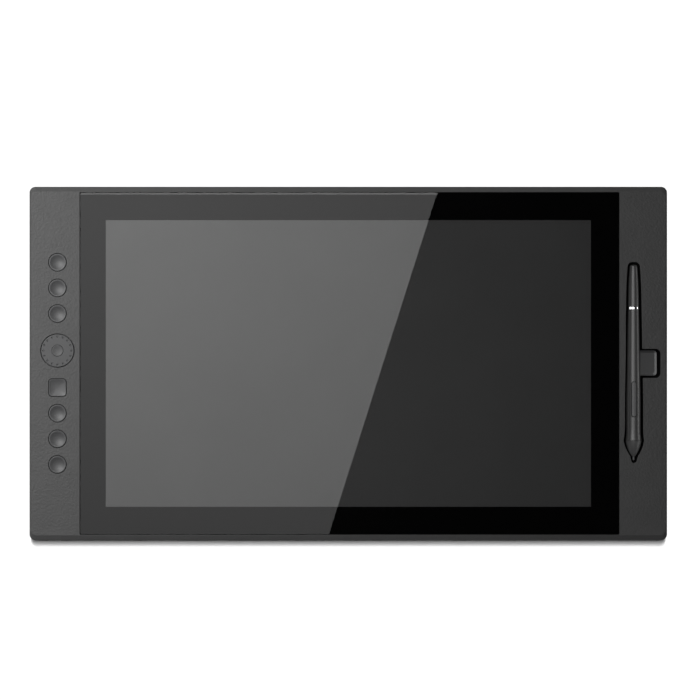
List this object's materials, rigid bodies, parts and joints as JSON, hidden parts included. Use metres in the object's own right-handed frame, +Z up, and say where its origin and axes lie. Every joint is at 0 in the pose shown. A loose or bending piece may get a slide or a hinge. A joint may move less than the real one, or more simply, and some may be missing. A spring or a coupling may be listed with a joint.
{
  "type": "graphics tablet with screen",
  "caption": "Flat pen display with a glass-fronted screen, a column of shortcut keys around a dial at its left, and a pressure pen lying in a slot at its right.",
  "frame": {"origin": "centre of the footprint, on the desk under the rubber feet", "axes": "+X to the right along the screen's long side, +Y to the far edge, +Z up out of the screen"},
  "size_m": [0.448, 0.2484, 0.0221],
  "materials": {
    "housing": "fine leather-like moulded grain, dark grey",
    "rear_housing": "fine matt moulded texture",
    "cover_glass": "smooth with a polished edge",
    "border_print": "black ink behind the glass",
    "screen": "dark grey screen, switched off",
    "tape": "black foam tape",
    "films": "white diffuser sheet",
    "light_guide": "clear acrylic",
    "sheet_metal": "pressed sheet",
    "board": "green circuit board",
    "component": "black moulding",
    "connector": "cream moulding",
    "lamps": "strip of lamps",
    "cable": "amber flexible circuit",
    "white_cable": "white flat cable",
    "screws": "machine screw",
    "dark_screws": "black oxide",
    "port_shell": "drawn steel",
    "rubber": "matt rubber",
    "keys": "satin dished cap",
    "dial": "satin dial with dimples",
    "tray": "fine matt moulded texture",
    "pen_body": "satin soft-touch barrel",
    "pen_key": "smooth side switch",
    "nib": "hard plastic point",
    "ring_metal": "polished ring",
    "copper": "copper winding",
    "ferrite": "grey ferrite",
    "rotor": "coded disc"
  },
  "bodies": {
    "tablet": {"front_frame": "housing", "rear_cover": "rear_housing", "cover_glass": "cover_glass", "border_print": "border_print", "glass_tape": "tape", "lcd_cell": "screen", "optical_films": "films", "light_guide": "light_guide", "reflector_sheet": "films", "led_strip": "lamps", "panel_chassis": "sheet_metal", "digitizer_board": "board", "shield_plate": "sheet_metal", "panel_screws": "screws", "main_board": "board", "board_chips": "component", "board_connectors": "connector", "usb_c_shell": "port_shell", "usb_c_tongue": "component", "power_switch": "component", "board_screws": "screws", "key_board": "board", "key_switches": "component", "key_board_screws": "screws", "dial_encoder": "component", "panel_cable": "cable", "sensor_cable": "cable", "key_cable": "white_cable", "pen_tray": "tray", "tray_screws": "screws", "case_screws": "dark_screws", "rubber_feet": "rubber"},
    "round_key_1": {"round_key_1": "keys"},
    "round_key_2": {"round_key_2": "keys"},
    "round_key_3": {"round_key_3": "keys"},
    "round_key_4": {"round_key_4": "keys"},
    "round_key_5": {"round_key_5": "keys"},
    "round_key_6": {"round_key_6": "keys"},
    "square_key": {"square_key": "keys"},
    "dial": {"dial_ring": "dial", "encoder_rotor": "rotor"},
    "dial_button": {"dial_button": "dial"},
    "power_key": {"power_key": "rear_housing"},
    "pen": {"pen_barrel": "pen_body", "pen_nose": "pen_body", "pen_ring": "ring_metal", "pen_tail": "pen_body", "pen_board": "board", "pen_switches": "component", "pen_ferrite": "ferrite", "pen_coil": "copper", "pressure_cell": "port_shell"},
    "pen_nib": {"pen_nib": "nib"},
    "pen_rocker": {"pen_rocker": "pen_key"}
  },
  "joints": [
    {"name": "round_key_1_press", "type": "slide", "parent": "tablet", "child": "round_key_1", "axis": [0, 0, -1], "range_m": [0, 0.0005], "stiffness_N_per_m": 2500},
    {"name": "round_key_2_press", "type": "slide", "parent": "tablet", "child": "round_key_2", "axis": [0, 0, -1], "range_m": [0, 0.0005], "stiffness_N_per_m": 2500},
    {"name": "round_key_3_press", "type": "slide", "parent": "tablet", "child": "round_key_3", "axis": [0, 0, -1], "range_m": [0, 0.0005], "stiffness_N_per_m": 2500},
    {"name": "round_key_4_press", "type": "slide", "parent": "tablet", "child": "round_key_4", "axis": [0, 0, -1], "range_m": [0, 0.0005], "stiffness_N_per_m": 2500},
    {"name": "round_key_5_press", "type": "slide", "parent": "tablet", "child": "round_key_5", "axis": [0, 0, -1], "range_m": [0, 0.0005], "stiffness_N_per_m": 2500},
    {"name": "round_key_6_press", "type": "slide", "parent": "tablet", "child": "round_key_6", "axis": [0, 0, -1], "range_m": [0, 0.0005], "stiffness_N_per_m": 2500},
    {"name": "square_key_press", "type": "slide", "parent": "tablet", "child": "square_key", "axis": [0, 0, -1], "range_m": [0, 0.0005], "stiffness_N_per_m": 2500},
    {"name": "dial_turn", "type": "hinge", "parent": "tablet", "child": "dial", "pos_m": [-0.2042, 0.009, 0.018], "axis": [0, 0, 1], "continuous": true},
    {"name": "dial_button_press", "type": "slide", "parent": "tablet", "child": "dial_button", "axis": [0, 0, -1], "range_m": [0, 0.0005], "stiffness_N_per_m": 2500},
    {"name": "power_key_press", "type": "slide", "parent": "tablet", "child": "power_key", "axis": [0, -1, 0], "range_m": [0, 0.0004], "stiffness_N_per_m": 2500},
    {"name": "pen_lift", "type": "slide", "parent": "tablet", "child": "pen", "axis": [0, 0, 1], "range_m": [0, 0.04]},
    {"name": "nib_press", "type": "slide", "parent": "pen", "child": "pen_nib", "axis": [0, 1, 0], "range_m": [0, 0.0008], "stiffness_N_per_m": 3750},
    {"name": "rocker_tilt", "type": "hinge", "parent": "pen", "child": "pen_rocker", "pos_m": [0.2004, -0.0252, 0.0202], "axis": [1, 0, 0], "range_deg": [-2, 2], "stiffness_Nm_per_rad": 0.29}
  ]
}
